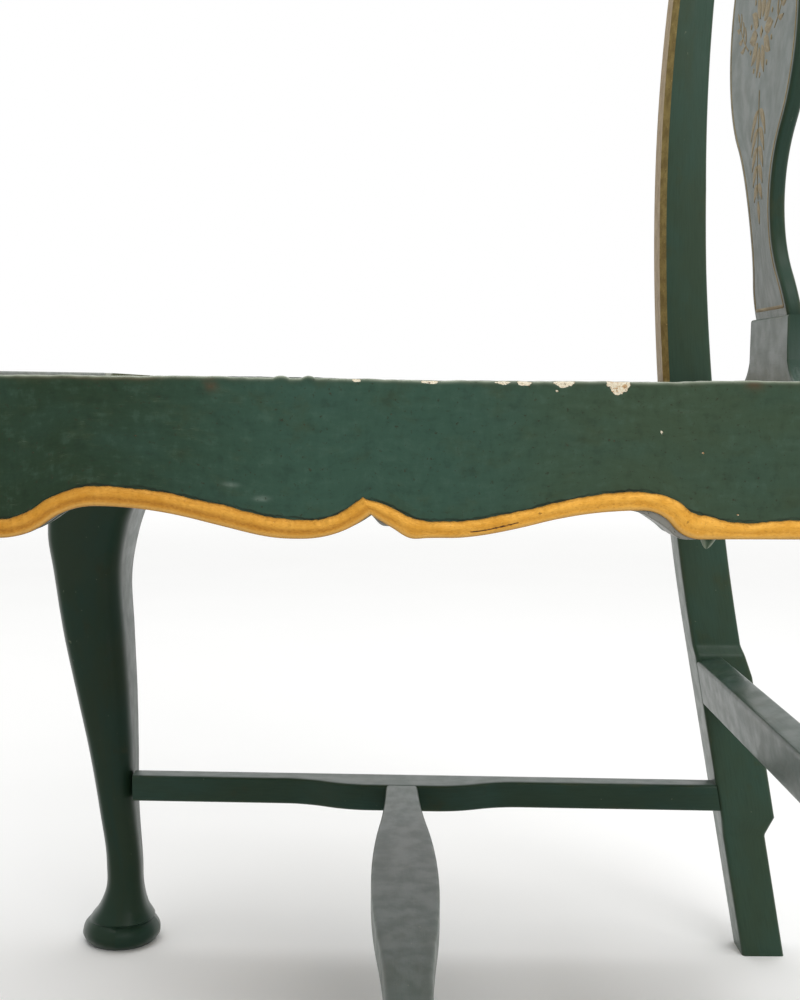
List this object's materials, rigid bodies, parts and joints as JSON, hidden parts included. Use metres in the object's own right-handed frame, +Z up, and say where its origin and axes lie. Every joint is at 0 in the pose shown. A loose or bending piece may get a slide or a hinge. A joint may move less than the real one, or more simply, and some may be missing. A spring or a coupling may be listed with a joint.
{
  "type": "stenciled painted side chair",
  "caption": "Painted wooden side chair with a scalloped, gilt-beaded seat frame, bent front legs, raked back legs, a vase splat and a lift-out rush seat.",
  "frame": {"origin": "on the floor, under the middle of the chair's overall width and depth", "axes": "+Z up, the sitter faces -Y, +X is the sitter's left"},
  "size_m": [0.562, 0.5666, 0.9891],
  "materials": {
    "green_paint": "old dark green oil paint, satin, worn and chipped at the edges",
    "gilt_bead": "aged gold paint, satin, with fine cracks",
    "rush": "twisted rush, dry and matt",
    "bare_wood": "unpainted maple and pine, aged"
  },
  "bodies": {
    "body": {"front_leg_left": "green_paint", "front_leg_right": "green_paint", "rear_post_left": "green_paint", "rear_post_right": "green_paint", "front_rail": "green_paint", "side_rail_left": "green_paint", "side_rail_right": "green_paint", "rear_rail": "green_paint", "front_rail_bead": "gilt_bead", "side_rail_bead_left": "gilt_bead", "side_rail_bead_right": "gilt_bead", "rear_stretcher": "green_paint", "side_stretcher_left": "green_paint", "side_stretcher_right": "green_paint", "medial_stretcher": "green_paint", "crest_rail": "green_paint", "splat": "green_paint", "splat_shoe": "green_paint", "corner_block_front_left": "bare_wood", "corner_block_front_right": "bare_wood", "corner_block_rear_left": "bare_wood", "corner_block_rear_right": "bare_wood", "front_leg_pegs_left": "green_paint", "front_leg_pegs_right": "green_paint", "rear_post_pegs_left": "green_paint", "rear_post_pegs_right": "green_paint"},
    "slip_seat": {"rush_seat": "rush", "slip_seat_front_bar": "bare_wood", "slip_seat_rear_bar": "bare_wood", "slip_seat_left_bar": "bare_wood", "slip_seat_right_bar": "bare_wood"}
  },
  "joints": [
    {"name": "seat_lift", "type": "slide", "parent": "body", "child": "slip_seat", "axis": [0, -0.0698, 0.9976], "range_m": [0, 0.15]}
  ]
}
